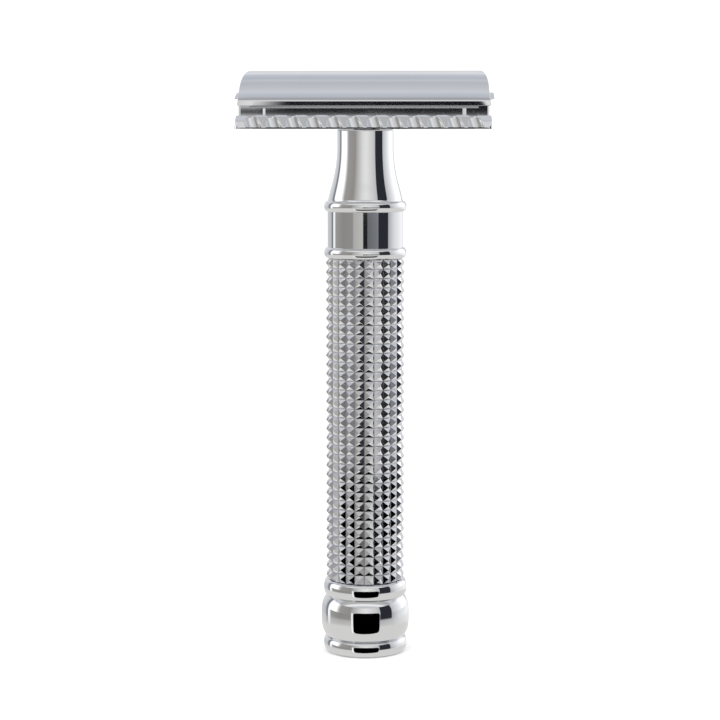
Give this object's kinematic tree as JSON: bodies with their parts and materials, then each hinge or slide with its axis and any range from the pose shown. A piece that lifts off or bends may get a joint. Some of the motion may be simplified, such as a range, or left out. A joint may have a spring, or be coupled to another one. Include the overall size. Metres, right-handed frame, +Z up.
{
  "type": "safety razor",
  "caption": "Chromed double-edge safety razor with a scalloped safety bar, a screw-down cap, a banded collar and a pyramid-knurled handle.",
  "frame": {"origin": "centre of the pommel's foot, on the surface the razor stands on", "axes": "+Z up the handle's axis towards the cap, +X along the blade's edges, -Y is the side shown as the front"},
  "size_m": [0.0428, 0.026, 0.0986],
  "materials": {
    "polished_chrome": "mirror-polished chrome plate with fine wiping marks",
    "knurled_chrome": "chrome plate over cut pyramids, slightly duller in the valleys",
    "cast_chrome": "bright chrome plate over a die casting, faintly rippled",
    "blade_steel": "ground stainless strip with polished edges",
    "plain_steel": "plain turned steel",
    "turned_brass": "turned and threaded brass"
  },
  "bodies": {
    "handle": {"pommel": "polished_chrome", "grip_sleeve": "knurled_chrome", "core_rod": "plain_steel", "neck_collar": "polished_chrome", "thread_insert": "turned_brass"},
    "guard_plate": {"guard_plate": "cast_chrome"},
    "blade": {"blade": "blade_steel"},
    "cap": {"cap": "cast_chrome", "cap_stud": "turned_brass", "cap_pin_left": "plain_steel", "cap_pin_right": "plain_steel"}
  },
  "joints": [
    {"name": "head_turn", "type": "hinge", "parent": "handle", "child": "guard_plate", "pos_m": [0, 0, 0.0888], "axis": [0, 0, 1], "range_deg": [0, 3600]},
    {"name": "cap_lift", "type": "slide", "parent": "guard_plate", "child": "cap", "axis": [0, 0, 1], "range_m": [0, 0.008]},
    {"name": "blade_lift", "type": "slide", "parent": "guard_plate", "child": "blade", "axis": [0, 0, 1], "range_m": [0, 0.004]}
  ],
  "couplings": [
    {"joint": "cap_lift", "follows": "head_turn", "m_per_rad": 0.00012732},
    {"joint": "blade_lift", "follows": "head_turn", "m_per_rad": 0.000063661}
  ]
}
